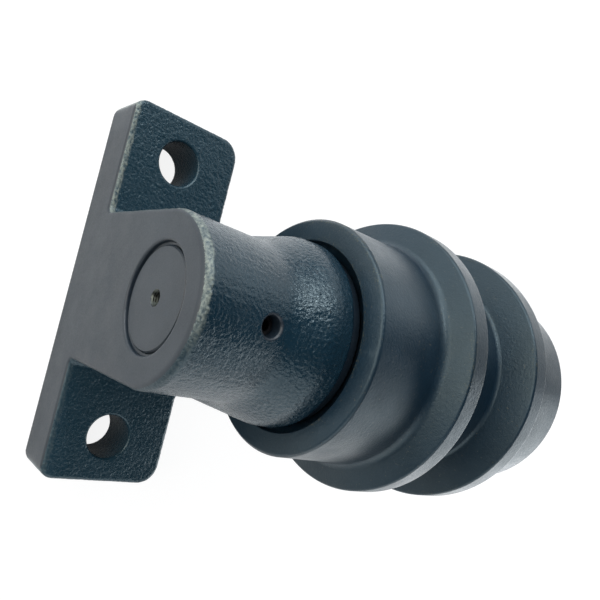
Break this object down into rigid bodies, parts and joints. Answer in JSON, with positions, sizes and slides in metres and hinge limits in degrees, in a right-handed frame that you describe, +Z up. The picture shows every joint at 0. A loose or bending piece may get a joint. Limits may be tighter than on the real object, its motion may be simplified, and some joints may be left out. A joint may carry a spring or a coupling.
{
  "type": "track roller",
  "caption": "Cantilevered track carrier roller with tapered guide flanges, turning on a sealed, oil-filled shaft held in a cast bolt-down bracket",
  "frame": {"origin": "midway between the two mounting bolt axes, on the bracket's flat mounting face", "axes": "+X from bolt to bolt, +Y along the roller's shaft from the bracket's end face towards the roller, +Z up, away from the track frame"},
  "size_m": [0.2196, 0.26, 0.1863],
  "materials": {
    "bracket_paint": "satin near-black paint over a rough casting, machined end face",
    "roller_paint": "satin near-black paint over turned steel",
    "shaft_paint": "thin satin black paint on the turned end face, ground steel journal",
    "spring_steel": "dark oiled spring steel",
    "seal_rubber": "moulded nitrile",
    "lapped_iron": "hard cast iron with a lapped face",
    "plate_steel": "turned steel",
    "fastener_steel": "black oxide fasteners",
    "bush_bronze": "bored bronze",
    "copper_washer": "soft copper"
  },
  "bodies": {
    "support": {"bracket": "bracket_paint", "shaft": "shaft_paint", "shaft_lock_pin": "spring_steel", "shaft_o_ring": "seal_rubber", "fixed_seal_ring": "lapped_iron", "fixed_toric_ring": "seal_rubber", "retaining_plate": "plate_steel", "plate_washers": "fastener_steel", "plate_bolts": "fastener_steel"},
    "roller": {"roller_shell": "roller_paint", "inner_bush": "bush_bronze", "outer_bush": "bush_bronze", "rotating_seal_ring": "lapped_iron", "rotating_toric_ring": "seal_rubber", "end_cover": "roller_paint", "cover_o_ring": "seal_rubber", "cover_washers": "fastener_steel", "cover_bolts": "fastener_steel", "oil_plug": "fastener_steel", "oil_plug_washer": "copper_washer"}
  },
  "joints": [
    {"name": "roller_spin", "type": "hinge", "parent": "support", "child": "roller", "pos_m": [0, 0.136, 0.108], "axis": [0, 1, 0], "continuous": true}
  ]
}
